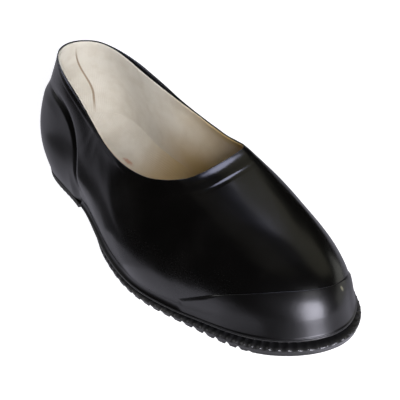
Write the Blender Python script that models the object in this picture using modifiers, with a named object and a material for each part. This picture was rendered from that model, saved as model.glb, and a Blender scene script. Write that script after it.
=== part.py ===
"""A low slip-on rubber galosh for the right foot, in metres.

X runs from heel to toe, Y to the wearer's left, which is the inner side of a right shoe, and Z up from
the floor. The origin lies on the floor under the middle of the shoe's box.

The upper's wall is one function. A place on it is given by `at`, the distance round the shoe along its
foot line, from the back of the heel by the outer side to the toe and back by the inner side, and by the
height measured up the wall from the sole. The overlays and the sole's edge follow from the same function.
"""

from collections import namedtuple

import bpy
import numpy as np

# Driving dimensions: the foot line's length, the ball's width, and the collar's heights over the floor.
SHOE_LENGTH = 0.286
BALL_WIDTH = 0.106
INSTEP_HEIGHT = 0.073
HEEL_HEIGHT = 0.097

# Thicknesses, and the clearance between pieces that are laid on each other.
UPPER_WALL = 0.0020
OVERLAY_WALL = 0.0012
GAP = 0.0004

# Middle of the shoe's box, measured from the middle of the foot line.
MIDDLE_X = 0.0012
MIDDLE_Y = -0.0050

# A row for each section of the last, from the back of the heel by the outer side round to the inner side.
# foot_* is where the wall meets the sole and rim_* where it ends at the collar. Along is percent of the
# length and across percent of the ball width, both from the middle. rim_height is percent of the way from
# instep height to heel height. The wall starts up with a lean outwards and falls away from the collar at an
# angle, both in degrees. rise and reach say how far it keeps each direction, in percent of the distance
# between foot and rim.
Section = namedtuple("Section", "foot_along foot_across rim_along rim_across rim_height rise lean reach fall")
SECTIONS = {
    "heel_back": Section(-48.0, 4.0, -44.0, 1.0, 100, 43, 18, 36, 76),
    "heel_out": Section(-43.0, -24.0, -41.0, -18.5, 98, 44, 19, 37, 76),
    "breast_out": Section(-30.5, -31.5, -29.5, -26.0, 55, 40, 15, 34, 79),
    "waist_out": Section(-12.0, -45.5, -14.5, -32.5, -9, 43, 10, 34, 78),
    "joint_out": Section(8.5, -55.0, -3.0, -32.0, -24, 40, 8, 34, 60),
    "ball_out": Section(26.0, -43.0, 3.0, -25.5, -18, 33, 6, 42, 38),
    "toe_out": Section(41.0, -26.5, 7.0, -13.5, -9, 29, 5, 48, 24),
    "toe_tip": Section(48.5, 7.5, 8.0, 2.5, 0, 30, 4, 48, 19),
    "toe_in": Section(41.5, 34.0, 7.0, 20.5, -2, 31, 6, 49, 20),
    "ball_in": Section(26.0, 44.5, 5.0, 34.0, -10, 36, 8, 47, 29),
    "joint_in": Section(6.5, 37.0, -2.0, 37.5, -30, 45, 8, 42, 54),
    "waist_in": Section(-12.0, 27.5, -14.0, 35.0, -14, 43, 7, 36, 75),
    "breast_in": Section(-30.5, 30.5, -29.0, 26.0, 42, 37, 10, 33, 80),
    "heel_in": Section(-43.0, 28.5, -40.0, 18.0, 84, 40, 15, 35, 77),
}
# How strongly the wall leaves the collar square to it, against straight towards its foot.
RIM_SQUARENESS = 0.030

# Places along the sole, as a share of the length from its middle.
SEAT_RISE_START = -0.295
HEEL_BREAST = -0.265
WAIST = -0.17
TREAD_START = -0.085
BALL = 0.10
SEAT_SPRING_START = 0.20
TREAD_SPRING_START = 0.26
BOW_FADE_START = 0.30
BOW_FADE_END = 0.49
TOE_END = 0.50

# Heights of the sole: the seat that the upper stands on, and the tread underneath.
HEEL_SEAT = 0.0060
WAIST_SEAT = 0.0105
BALL_SEAT = 0.0072
SEAT_SPRING = 0.0110
SHANK_ARCH = 0.0060
TREAD_SPRING = 0.0080
# How late the toe turns up: 1 is a straight ramp.
SEAT_SPRING_POWER = 1.25
TREAD_SPRING_POWER = 1.7

# How far the sole stands out past the foot line: a row for each place along it, for the lip at the top of
# its edge, for the bead at the ends of the ribs, and for the corner of the tread.
Edge = namedtuple("Edge", "along lip bead corner")
SOLE_EDGE = [
    Edge(-0.50, 0.0022, 0.0020, 0.0008),
    Edge(-0.268, 0.0022, 0.0020, 0.0008),
    Edge(-0.262, 0.0022, 0.0004, -0.0060),
    Edge(-0.15, 0.0022, 0.0004, -0.0060),
    Edge(-0.08, 0.0024, 0.0022, 0.0010),
    Edge(0.05, 0.0024, 0.0030, 0.0018),
    Edge(0.22, 0.0026, 0.0038, 0.0028),
    Edge(0.42, 0.0034, 0.0064, 0.0052),
    Edge(0.50, 0.0038, 0.0074, 0.0060),
]

# The sole's edge from the top down, in shares of its height: the lip's upright face, the groove under it
# and the bead. The tread's corner is at 1.
LIP_FACE = 0.22
LIP_GROOVE = 0.38
LIP_GROOVE_DEPTH = 0.0010
BEAD = 0.72

# Ribs: flat strips with a V-shaped groove after each, bowed so that their ends lie nearer the toe.
FOREFOOT_RIBS = 21
FOREFOOT_GROOVE = 0.0030
HEEL_RIBS = 12
HEEL_GROOVE = 0.0020
RIB_SHARE = 0.55
RIB_BOW = 0.0070

# Foxing: its height up the wall, the shares of the length where it rises to the toe, and its profile in
# shares of that height, up its inner face and down its outer one.
FOXING_HEIGHT_TOE = 0.0080
FOXING_HEIGHT_SIDE = 0.0045
FOXING_RISE_START = 0.15
FOXING_RISE_END = 0.42
FOXING_EDGE = 0.0006
FOXING_INNER = (0.10, 0.55, 1.0)
FOXING_OUTER = (1.0, 0.55, 0.22)

# Toe cap and heel counter: the height of the top edge up the wall, half their length round the shoe, the
# powers that round the edge, and the share of the length where each is cut off.
CAP_HEIGHT = 0.0315
CAP_CENTRE = 0.298
CAP_REACH = 0.0985
CAP_ROUND_POWER = 1.6
CAP_END = 0.82
CAP_ROWS = 5
COUNTER_HEIGHT = 0.0725
COUNTER_REACH = 0.0885
COUNTER_ROUND_POWER = 4
COUNTER_RISE_POWER = 3
COUNTER_END = 0.965
COUNTER_ROWS = 12

# Collar band: its width, where it widens to the throat, and its rows in shares of the width below the rim.
BAND_WIDTH_THROAT = 0.0160
BAND_WIDTH_BACK = 0.0065
BAND_WIDENS_FROM = -0.12
BAND_WIDENS_TO = 0.06
BAND_ROWS = (1, 0.5, 0.04)

# Insole: its section as shares of half the width and of the thickness, from the outer side round.
INSOLE_THICKNESS = 0.0035
HEEL_WEDGE = 0.0050
WEDGE_FALL_START = -0.32
INSOLE_CLEARANCE = 0.0009
InsolePoint = namedtuple("InsolePoint", "across height")
INSOLE_SECTION = [
    InsolePoint(-1, 0),
    InsolePoint(1, 0),
    InsolePoint(1, 0.8),
    InsolePoint(0.9, 1),
    InsolePoint(0, 0.94),
    InsolePoint(-0.9, 1),
    InsolePoint(-1, 0.8),
]

# Facets: stations round the shoe and up the wall, points across the sole, and the finest steps used.
ROUND_STATIONS = 88
WALL_ROWS = 12
PROFILE_SAMPLES = 81
SHANK_STATIONS = 5
ACROSS_POINTS = 7
INSOLE_STATIONS = 34
EDGE_SAMPLES = 720
END_INSET = 0.0003
END_STEPS = (0.0006, 0.0016)
STEP = 0.0005
UP_STEP = 0.002
STATION_MARGIN = 0.3
SHARP_ANGLE = np.radians(40)

# Colour and roughness of each sub-part: glossy black rubber, duller on the tread, and cream cloth.
Look = namedtuple("Look", "colour roughness")
LOOKS = {
    "outsole": Look((0.018, 0.018, 0.020, 1.0), 0.45),
    "upper": Look((0.010, 0.010, 0.011, 1.0), 0.20),
    "foxing": Look((0.012, 0.012, 0.013, 1.0), 0.26),
    "toe_cap": Look((0.011, 0.011, 0.012, 1.0), 0.22),
    "heel_counter": Look((0.011, 0.011, 0.012, 1.0), 0.24),
    "collar_band": Look((0.010, 0.010, 0.011, 1.0), 0.24),
    "insole": Look((0.72, 0.66, 0.56, 1.0), 0.90),
}

UP = np.array([0.0, 0.0, 1.0])


def unit(vectors):
    return vectors / np.linalg.norm(vectors, axis=-1, keepdims=True)


def ramp(x, start, end):
    """Smooth step from 0 to 1 between two places along the shoe, given as shares of its length."""
    share = np.clip((x / SHOE_LENGTH - start) / (end - start), 0, 1)
    return share * share * (3 - 2 * share)


def spring(x, start, power):
    """Rise of the toe: 0 up to `start`, 1 at the toe's end."""
    return np.clip((x / SHOE_LENGTH - start) / (TOE_END - start), 0, None) ** power


def seat_height(x):
    """Top of the sole: low under the heel, up at the waist, down at the ball, up with the toe."""
    waist = (WAIST_SEAT - HEEL_SEAT) * ramp(x, SEAT_RISE_START, WAIST)
    ball = (BALL_SEAT - WAIST_SEAT) * ramp(x, WAIST, BALL)
    return HEEL_SEAT + waist + ball + SEAT_SPRING * spring(x, SEAT_SPRING_START, SEAT_SPRING_POWER)


def tread_height(x):
    """Underside of the sole: flat heel, a step up to the arch of the shank, flat ball, and the toe spring."""
    behind_breast = x < HEEL_BREAST * SHOE_LENGTH
    arch = np.where(behind_breast, 0, SHANK_ARCH * (1 - ramp(x, HEEL_BREAST, TREAD_START)))
    return arch + TREAD_SPRING * spring(x, TREAD_SPRING_START, TREAD_SPRING_POWER)


def periodic_spline(knots, values, at):
    """Smooth closed curve through the rows of `values` at the knots, read at the places `at`."""
    step = np.diff(knots)
    count = len(values)
    row = np.arange(count)
    before, after = (row - 1) % count, (row + 1) % count
    system = np.zeros((count, count))
    system[row, before] = step[before]
    system[row, row] = 2 * (step[before] + step)
    system[row, after] = step
    slope = (values[after] - values) / step[:, None]
    bend = np.linalg.solve(system, 6 * (slope - slope[before]))
    place = np.mod(at, knots[-1])
    i = np.clip(np.searchsorted(knots, place, side="right") - 1, 0, count - 1)
    b = ((place - knots[i]) / step[i])[:, None]
    a = 1 - b
    curve = (a**3 - a) * bend[i] + (b**3 - b) * bend[after[i]]
    return a * values[i] + b * values[after[i]] + curve * step[i][:, None] ** 2 / 6


TABLE = np.array(list(SECTIONS.values()))
FOOT_POINTS = TABLE[:, :2] / 100 * [SHOE_LENGTH, BALL_WIDTH]
KNOTS = np.concatenate([[0], np.cumsum(np.linalg.norm(np.roll(FOOT_POINTS, -1, 0) - FOOT_POINTS, axis=1))])
ROUND = KNOTS[-1]


def plan_curves(at):
    """The section values at the places `at`, with the foot line and the rim in plan."""
    row = Section(*periodic_spline(KNOTS, TABLE, at).T)
    foot = np.column_stack([row.foot_along * SHOE_LENGTH, row.foot_across * BALL_WIDTH]) / 100
    rim = np.column_stack([row.rim_along * SHOE_LENGTH, row.rim_across * BALL_WIDTH]) / 100
    return row, foot, rim


def outward(at):
    """Level directions square to the foot line and to the rim, pointing out of the shoe."""
    _, foot_after, rim_after = plan_curves(at + STEP)
    _, foot_before, rim_before = plan_curves(at - STEP)
    directions = []
    for along in (foot_after - foot_before, rim_after - rim_before):
        directions.append(unit(np.column_stack([along[:, 1], -along[:, 0]])))
    return directions


def wall_handles(at):
    """The four handles of the wall's profile at each place: foot, leaning up, falling from the rim, rim."""
    row, foot, rim = plan_curves(at)
    foot_out, rim_out = outward(at)
    rim_out = unit(foot - rim + RIM_SQUARENESS * rim_out)
    level = np.zeros(len(at))
    foot_out = np.column_stack([foot_out, level])
    rim_out = np.column_stack([rim_out, level])
    start = np.column_stack([foot, seat_height(foot[:, 0]) + GAP])
    end = np.column_stack([rim, INSTEP_HEIGHT + row.rim_height / 100 * (HEEL_HEIGHT - INSTEP_HEIGHT)])
    span = np.linalg.norm(end - start, axis=1)
    lean, fall = np.radians(row.lean)[:, None], np.radians(row.fall)[:, None]
    rise, reach = (row.rise / 100 * span)[:, None], (row.reach / 100 * span)[:, None]
    leaning = start + rise * (np.sin(lean) * foot_out + np.cos(lean) * UP)
    falling = end + reach * (np.cos(fall) * rim_out - np.sin(fall) * UP)
    return [handle[:, None] for handle in (start, leaning, falling, end)]


def wall_points(at, up):
    """Points of the outer wall: one cubic curve for each place, read at `up` from 0 to 1."""
    start, leaning, falling, end = wall_handles(at)
    t = up[..., None]
    s = 1 - t
    return s**3 * start + 3 * s**2 * t * leaning + 3 * s * t**2 * falling + t**3 * end


def wall_lengths(at):
    """Distance up the wall at evenly spaced values of `up`, a row for each place."""
    up = np.linspace(0, 1, PROFILE_SAMPLES)
    points = wall_points(at, np.broadcast_to(up, (len(at), PROFILE_SAMPLES)))
    steps = np.linalg.norm(np.diff(points, axis=1), axis=2)
    return up, np.concatenate([np.zeros((len(at), 1)), np.cumsum(steps, axis=1)], axis=1)


def skin(at, heights, offset):
    """Points at the given heights up the wall, moved off it by `offset` along its outward normal."""
    samples, lengths = wall_lengths(at)
    up = np.array([np.interp(high, length, samples) for high, length in zip(heights, lengths)])
    round_the_shoe = wall_points(at + STEP, up) - wall_points(at - STEP, up)
    up_the_wall = wall_points(at, np.minimum(up + UP_STEP, 1)) - wall_points(at, np.maximum(up - UP_STEP, 0))
    normal = unit(np.cross(round_the_shoe, up_the_wall))
    return wall_points(at, up) + np.asarray(offset)[..., None] * normal


def edge_out(x, column):
    """How far an edge of the sole stands out past the foot line at `x`."""
    along = [row.along * SHOE_LENGTH for row in SOLE_EDGE]
    return np.interp(x, along, [getattr(row, column) for row in SOLE_EDGE])


def outline(offset):
    """Plan outline at an offset from the foot line, as its outer and its inner side, each by rising x."""
    at = np.linspace(0, ROUND, EDGE_SAMPLES, endpoint=False)
    _, foot, _ = plan_curves(at)
    ring = foot + offset(foot[:, 0])[:, None] * outward(at)[0]
    heel, toe = ring[:, 0].argmin(), ring[:, 0].argmax()
    ring = np.roll(ring, -heel, axis=0)
    turn = (toe - heel) % EDGE_SAMPLES
    outer = ring[: turn + 1]
    inner = np.vstack([ring[turn:], ring[:1]])[::-1]
    return [side[np.argsort(side[:, 0])] for side in (outer, inner)]


def side_at(sides, x, across):
    """Y between the two sides of an outline: -1 on the outer side, +1 on the inner side."""
    outer, inner = (np.interp(x, side[:, 0], side[:, 1]) for side in sides)
    return (outer + inner) / 2 + across * (inner - outer) / 2


def reach_of(sides):
    return sides[0][0, 0] + END_INSET, sides[0][-1, 0] - END_INSET


def rib_stations(start, end, count, groove):
    """Places along the sole for a run of ribs: both edges of each flat and the bottom of its groove."""
    pitch = (end - start) / (count - 1 + RIB_SHARE)
    stations = []
    for rib in range(count):
        edge = start + rib * pitch
        stations += [(edge, 0), (edge + RIB_SHARE * pitch, 0)]
        if rib < count - 1:
            stations.append((edge + (1 + RIB_SHARE) / 2 * pitch, groove))
    return stations


def put_in_frame(points):
    return np.asarray(points) - [MIDDLE_X, MIDDLE_Y, 0]


def make_material(name):
    look = LOOKS[name]
    material = bpy.data.materials.new(name)
    material.use_nodes = True
    shader = material.node_tree.nodes["Principled BSDF"]
    shader.inputs["Base Color"].default_value = look.colour
    shader.inputs["Roughness"].default_value = look.roughness
    shader.inputs["Metallic"].default_value = 0.0
    material.diffuse_color = look.colour
    return material


def make_object(name, points, faces):
    mesh = bpy.data.meshes.new(name)
    mesh.from_pydata(put_in_frame(points).tolist(), [], faces)
    mesh.validate()
    mesh.shade_smooth()
    mesh.set_sharp_from_angle(angle=SHARP_ANGLE)
    mesh.materials.append(make_material(name))
    part = bpy.data.objects.new(name, mesh)
    PARTS.objects.link(part)
    return part


def make_sheet(name, grid, closed, thickness, side):
    """An open surface through a grid of points, solidified inwards (-1) or outwards (+1)."""
    columns, rows = grid.shape[:2]
    faces = []
    for i in range(columns if closed else columns - 1):
        after = (i + 1) % columns
        for j in range(rows - 1):
            faces.append((i * rows + j, after * rows + j, after * rows + j + 1, i * rows + j + 1))
    part = make_object(name, grid.reshape(-1, 3), faces)
    solidify = part.modifiers.new("wall", "SOLIDIFY")
    solidify.thickness = thickness
    solidify.offset = side
    solidify.use_even_offset = True
    return part


def make_loft(name, sections):
    """A closed body through sections that are closed loops of equally many points, with its ends capped."""
    count, size = sections.shape[:2]
    faces = [tuple(range(size))[::-1], tuple((count - 1) * size + k for k in range(size))]
    for i in range(count - 1):
        for k in range(size):
            after = (k + 1) % size
            faces.append((i * size + k, i * size + after, (i + 1) * size + after, (i + 1) * size + k))
    return make_object(name, sections.reshape(-1, 3), faces)


def make_upper():
    at = np.linspace(0, ROUND, ROUND_STATIONS, endpoint=False)
    total = wall_lengths(at)[1][:, -1:]
    grid = skin(at, total * np.linspace(0, 1, WALL_ROWS + 1), 0.0)
    return make_sheet("upper", grid, True, UPPER_WALL, -1)


def stations_between(start, end):
    """The upper's own stations from one place round the shoe to another."""
    pitch = ROUND / ROUND_STATIONS
    first = np.ceil(start / pitch + STATION_MARGIN)
    last = np.floor(end / pitch - STATION_MARGIN)
    return np.arange(first, last + 1) * pitch


def with_ends(start, end):
    """The upper's own stations between two places, with the places themselves."""
    return np.concatenate([[start], stations_between(start, end), [end]])


def cap_height(at):
    """Top edge of the toe cap: highest over the tip, running down along both sides."""
    return CAP_HEIGHT * (1 - np.abs((at - CAP_CENTRE) / CAP_REACH) ** CAP_ROUND_POWER)


def counter_height(at):
    """Top edge of the heel counter: level round the back, turning down steeply at its front."""
    fall = np.abs(at / COUNTER_REACH) ** COUNTER_ROUND_POWER
    return COUNTER_HEIGHT * (1 - fall) ** (1 / COUNTER_RISE_POWER)


def foxing_height(x):
    """Top edge of the foxing: low along the sides, higher round the toe."""
    rise = FOXING_HEIGHT_TOE - FOXING_HEIGHT_SIDE
    return FOXING_HEIGHT_SIDE + rise * ramp(x, FOXING_RISE_START, FOXING_RISE_END)


def make_toe_cap():
    """Overlay from the foxing's edge up to the cap's own edge, ending where that leaves a narrow tip."""
    end = CAP_END * CAP_REACH
    at = stations_between(CAP_CENTRE - end, CAP_CENTRE + end)
    bottom = foxing_height(plan_curves(at)[1][:, 0]) + GAP
    rows = np.linspace(0, 1, CAP_ROWS + 1)
    heights = bottom[:, None] + (cap_height(at) - bottom)[:, None] * rows
    return make_sheet("toe_cap", skin(at, heights, GAP), False, OVERLAY_WALL, 1)


def make_heel_counter():
    """Overlay round the heel from the sole's lip up, with a steep front edge at the heel breast."""
    end = COUNTER_END * COUNTER_REACH
    at = with_ends(-end, end)
    bottom = 3 * GAP
    rows = np.linspace(0, 1, COUNTER_ROWS + 1)
    heights = bottom + (counter_height(at) - bottom)[:, None] * rows
    return make_sheet("heel_counter", skin(at, heights, GAP), False, OVERLAY_WALL, 1)


def make_collar_band():
    """Binding strip round the mouth, widest across the throat."""
    at = np.linspace(0, ROUND, ROUND_STATIONS, endpoint=False)
    total = wall_lengths(at)[1][:, -1]
    rim_x = plan_curves(at)[2][:, 0]
    widening = BAND_WIDTH_THROAT - BAND_WIDTH_BACK
    width = BAND_WIDTH_BACK + widening * ramp(rim_x, BAND_WIDENS_FROM, BAND_WIDENS_TO)
    heights = total[:, None] - width[:, None] * np.array(BAND_ROWS)
    return make_sheet("collar_band", skin(at, heights, GAP), True, OVERLAY_WALL, 1)


def make_foxing():
    """Strip round the foot of the upper, its outer face curving out hollow to the sole's lip."""
    start = COUNTER_REACH + GAP
    at = with_ends(start, ROUND - start)
    foot = plan_curves(at)[1]
    height = foxing_height(foot[:, 0])
    out = edge_out(foot[:, 0], "lip")
    share = np.array(FOXING_OUTER)
    inner = skin(at, height[:, None] * np.array(FOXING_INNER), GAP)
    flare = FOXING_EDGE + GAP + (out - FOXING_EDGE - GAP)[:, None] * (1 - share) ** 2
    outer = skin(at, height[:, None] * share, flare)
    toe = foot + (out - GAP)[:, None] * outward(at)[0]
    toe = np.column_stack([toe, seat_height(toe[:, 0]) + GAP])
    loops = np.concatenate([inner, outer, toe[:, None]], axis=1)
    return make_loft("foxing", loops)


def sole_section_rows():
    """The outlines of the sole's edge from the lip down, with the share of the edge's height for each."""
    lip = outline(lambda x: edge_out(x, "lip"))
    groove = outline(lambda x: edge_out(x, "lip") - LIP_GROOVE_DEPTH)
    bead = outline(lambda x: edge_out(x, "bead"))
    corner = outline(lambda x: edge_out(x, "corner"))
    return [(lip, 0), (lip, LIP_FACE), (groove, LIP_GROOVE), (bead, BEAD), (corner, 1)]


def sole_stations(start, end):
    """Places along the sole with the depth of tread cut away at each. Close steps round off both ends."""
    breast = HEEL_BREAST * SHOE_LENGTH
    tread = TREAD_START * SHOE_LENGTH
    heel = rib_stations(start, breast - STEP, HEEL_RIBS, HEEL_GROOVE)
    heel += [(start + step, 0) for step in END_STEPS]
    shank = [(x, 0) for x in np.linspace(breast + STEP, tread, SHANK_STATIONS, endpoint=False)]
    forefoot = rib_stations(tread, end, FOREFOOT_RIBS, FOREFOOT_GROOVE)
    forefoot += [(end - step, 0) for step in END_STEPS]
    return np.array(sorted(heel + shank + forefoot))


def make_outsole():
    """Sole lofted from heel to toe, a section at every edge of its ribs and grooves."""
    rows = sole_section_rows()
    tread_start, tread_end = reach_of(rows[-1][0])
    x, cut = sole_stations(tread_start, tread_end).T
    share = (x - tread_start) / (tread_end - tread_start)
    bow = RIB_BOW * ramp(x, HEEL_BREAST, BALL) * (1 - ramp(x, BOW_FADE_START, BOW_FADE_END))
    across = np.linspace(-1, 1, ACROSS_POINTS)
    inner_half = []
    outer_half = []
    for sides, down in rows:
        row_start, row_end = reach_of(sides)
        row_x = row_start + share * (row_end - row_start) + down * bow
        row_x = np.clip(row_x, row_start, row_end)
        top, floor = seat_height(row_x), tread_height(row_x) + cut * down
        z = top + down * (floor - top)
        outer_half.append(np.column_stack([row_x, side_at(sides, row_x, -1), z]))
        inner_half.append(np.column_stack([row_x, side_at(sides, row_x, 1), z]))
    tread_rows = []
    for place in across[1:-1]:
        row_x = x + bow * place**2
        z = tread_height(row_x) + cut
        tread_rows.append(np.column_stack([row_x, side_at(rows[-1][0], row_x, place), z]))
    loop = outer_half + tread_rows + inner_half[::-1]
    return make_loft("outsole", np.stack(loop, axis=1))


def make_insole():
    """Sock inside the upper, thicker under the heel."""
    inset = UPPER_WALL + INSOLE_CLEARANCE
    sides = outline(lambda x: np.full(len(x), -inset))
    start, end = reach_of(sides)
    turn = np.linspace(0, np.pi, INSOLE_STATIONS)
    x = start + (end - start) * (1 - np.cos(turn)) / 2
    bottom = seat_height(x) + GAP
    thickness = INSOLE_THICKNESS + HEEL_WEDGE * (1 - ramp(x, WEDGE_FALL_START, WAIST))
    loop = []
    for point in INSOLE_SECTION:
        y = side_at(sides, x, point.across)
        loop.append(np.column_stack([x, y, bottom + point.height * thickness]))
    return make_loft("insole", np.stack(loop, axis=1))


for leftover in list(bpy.data.objects):
    bpy.data.objects.remove(leftover, do_unlink=True)
PARTS = bpy.data.collections.new("rubber_galosh")
bpy.context.scene.collection.children.link(PARTS)

make_outsole()
make_upper()
make_foxing()
make_toe_cap()
make_heel_counter()
make_collar_band()
make_insole()
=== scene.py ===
"""Looks of a low black rubber galosh for the right foot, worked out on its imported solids.

Most surfaces are functions of `at`, the distance round the shoe along the line where its wall meets the
sole, from the back of the heel by the outer side to the toe and back, and of a height up the wall.
Sizes are in metres.
"""

from collections import namedtuple

import bmesh
import bpy
import numpy as np
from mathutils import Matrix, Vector


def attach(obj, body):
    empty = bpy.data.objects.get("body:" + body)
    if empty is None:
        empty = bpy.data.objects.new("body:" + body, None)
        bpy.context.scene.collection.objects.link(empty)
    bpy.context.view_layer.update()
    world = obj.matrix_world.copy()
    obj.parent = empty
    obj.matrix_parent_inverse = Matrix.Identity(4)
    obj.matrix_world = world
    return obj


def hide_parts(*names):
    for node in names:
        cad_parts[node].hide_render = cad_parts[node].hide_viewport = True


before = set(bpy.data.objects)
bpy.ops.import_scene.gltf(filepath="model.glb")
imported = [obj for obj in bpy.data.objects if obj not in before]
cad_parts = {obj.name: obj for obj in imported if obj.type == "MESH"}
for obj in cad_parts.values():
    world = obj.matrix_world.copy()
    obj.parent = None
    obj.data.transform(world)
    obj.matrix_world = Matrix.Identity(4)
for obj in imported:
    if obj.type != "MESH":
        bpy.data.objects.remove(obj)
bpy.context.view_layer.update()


# Upper: one thin shell of black rubber, lasted over the shape of a right foot and cured to a gloss. It
# stands on the seat of the sole, is bare of seams, and ends in a rounded rim round the collar.
SHOE_LENGTH = 0.286
BALL_WIDTH = 0.106
INSTEP_HEIGHT = 0.073
HEEL_HEIGHT = 0.097
SEAT_CLEARANCE = 0.0004
SHELL_WALL = 0.0008
SHELL_COLUMNS = 560
SHELL_ROWS = 96
SHELL_INNER_ROWS = 14
BLACK = (0.0011, 0.0010, 0.0010, 1.0)
BLOOM = (0.0030, 0.0028, 0.0027, 1.0)
# Middle of the finished shoe, from the origin of its last.
MIDDLE = np.array([0.0012, -0.0050, 0.0])

# Sections of the last. Along is percent of the length and across percent of the ball width, from the
# middle of the foot line. rim_height is percent of the way from instep to heel height. rise and reach
# are percent of the distance from foot to rim, lean and fall degrees.
Section = namedtuple("Section", [
    "foot_along", "foot_across", "rim_along", "rim_across", "rim_height",
    "rise", "lean", "reach", "fall",
])
SECTIONS = {
    "heel_back": Section(-48.0, 4.0, -44.0, 1.0, 100, 43, 18, 36, 76),
    "heel_out": Section(-43.0, -24.0, -41.0, -18.5, 98, 44, 19, 37, 76),
    "breast_out": Section(-30.5, -31.5, -29.5, -26.0, 55, 40, 15, 34, 79),
    "waist_out": Section(-12.0, -45.5, -14.5, -32.5, -9, 43, 10, 34, 78),
    "joint_out": Section(8.5, -55.0, -3.0, -32.0, -24, 40, 8, 34, 60),
    "ball_out": Section(26.0, -43.0, 3.0, -25.5, -18, 33, 6, 42, 38),
    "toe_out": Section(41.0, -26.5, 7.0, -13.5, -9, 29, 5, 48, 24),
    "toe_tip": Section(48.5, 7.5, 8.0, 2.5, 0, 30, 4, 48, 19),
    "toe_in": Section(41.5, 34.0, 7.0, 20.5, -2, 31, 6, 49, 20),
    "ball_in": Section(26.0, 44.5, 5.0, 34.0, -10, 36, 8, 47, 29),
    "joint_in": Section(6.5, 37.0, -2.0, 37.5, -30, 45, 8, 42, 54),
    "waist_in": Section(-12.0, 27.5, -14.0, 35.0, -14, 43, 7, 36, 75),
    "breast_in": Section(-30.5, 30.5, -29.0, 26.0, 42, 37, 10, 33, 80),
    "heel_in": Section(-43.0, 28.5, -40.0, 18.0, 84, 40, 15, 35, 77),
}
# How much the rim's own square direction counts beside the line from rim to foot.
RIM_SQUARENESS = 0.030
TABLE = np.array(list(SECTIONS.values()))
FOOT_POINTS = TABLE[:, :2] / 100 * [SHOE_LENGTH, BALL_WIDTH]
FOOT_STEPS = np.linalg.norm(np.roll(FOOT_POINTS, -1, 0) - FOOT_POINTS, axis=1)
KNOTS = np.concatenate([[0], np.cumsum(FOOT_STEPS)])
ROUND = KNOTS[-1]
# Steps for slopes round the shoe and up the wall, and points on one profile of the wall.
STEP = 0.0005
UP_STEP = 0.002
PROFILE_SAMPLES = 81

# Top of the sole: its height at the heel, the rise to the waist, the drop to the ball and the spring of
# the toe, with where each starts and ends in shares of the shoe's length from its middle.
HEEL_SEAT = 0.0060
WAIST_RISE, WAIST_RUN = 0.0045, (-0.295, -0.17)
BALL_DROP, BALL_RUN = 0.0033, (-0.17, 0.10)
TOE_SPRING, TOE_SPRING_START, TOE_SPRING_POWER = 0.0110, 0.20, 1.25

# Soft troughs and ridges of the lasted shell: where the middle of each lies round the shoe and up the
# wall, its half length and half width, the turn of its length from level in degrees, and how far it
# stands out.
Crease = namedtuple("Crease", "at height long wide turn out")
CREASES = {
    "hollow of the outer waist": Crease(0.128, 0.030, 0.030, 0.016, 80, -0.0005),
    "hollow of the inner waist": Crease(0.515, 0.032, 0.034, 0.018, 82, -0.0005),
    "first ripple under the collar": Crease(0.093, 0.060, 0.009, 0.0024, 58, 0.00009),
    "second ripple under the collar": Crease(0.101, 0.057, 0.010, 0.0028, 66, 0.00020),
    "third ripple under the collar": Crease(0.110, 0.052, 0.008, 0.0026, 72, 0.00008),
    "flex trough over the toes": Crease(0.268, 0.062, 0.050, 0.010, -8, -0.0003),
    "inner flex trough": Crease(0.372, 0.066, 0.034, 0.010, 10, -0.0003),
}
# Slow waves left by hand lasting: turns round the shoe, wave length up the wall, start and height.
Wave = namedtuple("Wave", "turns up start out")
WAVES = [Wave(11, 0.041, 0.4, 0.00009), Wave(17, 0.063, 2.1, 0.00006), Wave(29, 0.029, 4.4, 0.00003)]

# The heel counter's outline on the wall, its steep front, which starts at a share of its reach and some
# way up, and the swell of the shell in front of it.
COUNTER_HEIGHT = 0.0725
COUNTER_REACH = 0.0885
COUNTER_SIDE_POWER = 4
COUNTER_TOP_POWER = 3
FRONT_START, FRONT_RUN = 0.30, 0.45
FRONT_FOOT, FRONT_RISE = 0.010, 0.018
SWELL = 0.0030
SWELL_RISE = 0.0084
SWELL_UNDER = 0.0020
SWELL_FALL = 0.0110


def unit(vectors):
    """Each vector over its own length."""
    return vectors / np.linalg.norm(vectors, axis=-1, keepdims=True)


def smooth(share):
    """0 below 0, 1 above 1, and the curve 3 s^2 - 2 s^3 between."""
    share = np.clip(share, 0, 1)
    return share * share * (3 - 2 * share)


def ramp(x, start, end):
    """Smooth step between two places along the shoe, given as shares of its length from the middle."""
    return smooth((x / SHOE_LENGTH - start) / (end - start))


def spring(x, start, power):
    """Rise of the toe: 0 up to `start`, 1 at half the shoe's length, as a power of the share between."""
    return np.clip((x / SHOE_LENGTH - start) / (0.5 - start), 0, None) ** power


def seat_height(x):
    """Top of the sole: a smooth step up from heel to waist, another down to the ball, and the spring."""
    waist = WAIST_RISE * ramp(x, *WAIST_RUN)
    ball = BALL_DROP * ramp(x, *BALL_RUN)
    return HEEL_SEAT + waist - ball + TOE_SPRING * spring(x, TOE_SPRING_START, TOE_SPRING_POWER)


def periodic_spline(knots, values, at):
    """Closed cubic spline through the rows of `values` at the knots, read at the places `at`."""
    step = np.diff(knots)
    count = len(values)
    row = np.arange(count)
    before, after = (row - 1) % count, (row + 1) % count
    system = np.zeros((count, count))
    system[row, before] = step[before]
    system[row, row] = 2 * (step[before] + step)
    system[row, after] = step
    slope = (values[after] - values) / step[:, None]
    bend = np.linalg.solve(system, 6 * (slope - slope[before]))
    place = np.mod(at, knots[-1])
    i = np.clip(np.searchsorted(knots, place, side="right") - 1, 0, count - 1)
    b = ((place - knots[i]) / step[i])[:, None]
    a = 1 - b
    curve = (a**3 - a) * bend[i] + (b**3 - b) * bend[after[i]]
    return a * values[i] + b * values[after[i]] + curve * step[i][:, None] ** 2 / 6


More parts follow.
